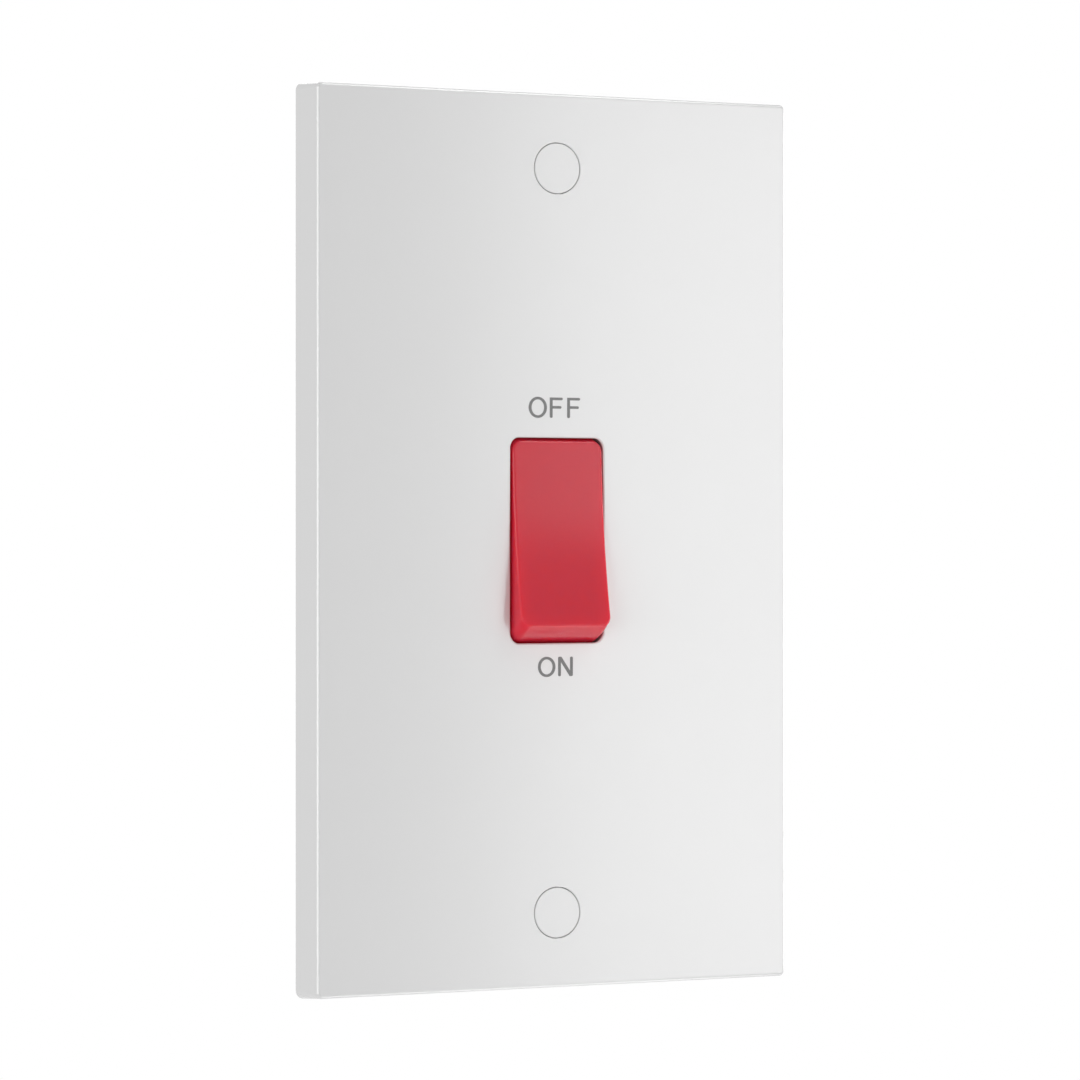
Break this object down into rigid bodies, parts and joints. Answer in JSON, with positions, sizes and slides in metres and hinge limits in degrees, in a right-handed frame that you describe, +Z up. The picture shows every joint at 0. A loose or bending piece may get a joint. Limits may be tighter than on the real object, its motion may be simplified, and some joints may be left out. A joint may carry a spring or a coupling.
{
  "type": "double pole wall switch",
  "caption": "Double pole rocker switch on an upright two gang wall plate: white square-edged faceplate, red rocker, screw caps, and a rear base with screw terminals",
  "frame": {"origin": "middle of the wall plane, on which the rim of the faceplate lies, midway between the fixing holes", "axes": "+X right as the plate is seen, +Y into the wall, +Z up along the plate's height"},
  "size_m": [0.086, 0.0323, 0.146],
  "materials": {
    "white_moulding": "satin",
    "red_moulding": "satin",
    "dark_moulding": "matte",
    "nylon": "satin",
    "spring_steel": "satin",
    "copper": "satin",
    "silver": "satin",
    "brass": "satin",
    "zinc_steel": "satin"
  },
  "bodies": {
    "housing": {"faceplate": "white_moulding", "screw_cap_top": "white_moulding", "screw_cap_bottom": "white_moulding", "fixed_contact_left": "silver", "fixed_contact_right": "silver", "contact_strip_left": "copper", "contact_strip_right": "copper", "fulcrum_strip_left": "copper", "fulcrum_strip_right": "copper", "terminal_screws": "brass", "switch_base": "dark_moulding", "base_screws": "zinc_steel", "terminal_top_left": "brass", "terminal_top_right": "brass", "terminal_bottom_left": "brass", "terminal_bottom_right": "brass"},
    "rocker": {"rocker": "red_moulding", "plunger_spring_left": "spring_steel", "plunger_spring_right": "spring_steel"},
    "plunger_left": {"plunger_left": "nylon"},
    "blade_left": {"blade_left": "copper", "moving_contact_left": "silver"},
    "plunger_right": {"plunger_right": "nylon"},
    "blade_right": {"blade_right": "copper", "moving_contact_right": "silver"}
  },
  "joints": [
    {"name": "rocker_swing", "type": "hinge", "parent": "housing", "child": "rocker", "pos_m": [0, 0.0002, 0], "axis": [1, 0, 0], "range_deg": [0, 13.4]},
    {"name": "plunger_left_slide", "type": "slide", "parent": "rocker", "child": "plunger_left", "axis": [0, -0.9932, 0.1167], "range_m": [0, 0.001], "stiffness_N_per_m": 600, "springref_m": -0.003, "deforming": ["plunger_spring_left"]},
    {"name": "blade_left_rock", "type": "hinge", "parent": "housing", "child": "blade_left", "pos_m": [-0.0046, 0.01201, 0], "axis": [1, 0, 0], "range_deg": [-18.76, 0]},
    {"name": "plunger_right_slide", "type": "slide", "parent": "rocker", "child": "plunger_right", "axis": [0, -0.9932, 0.1167], "range_m": [0, 0.001], "stiffness_N_per_m": 600, "springref_m": -0.003, "deforming": ["plunger_spring_right"]},
    {"name": "blade_right_rock", "type": "hinge", "parent": "housing", "child": "blade_right", "pos_m": [0.0046, 0.01201, 0], "axis": [1, 0, 0], "range_deg": [-18.76, 0]}
  ],
  "couplings": [
    {"joint": "blade_left_rock", "follows": "rocker_swing", "ratio": -1.4},
    {"joint": "blade_right_rock", "follows": "rocker_swing", "ratio": -1.4}
  ]
}
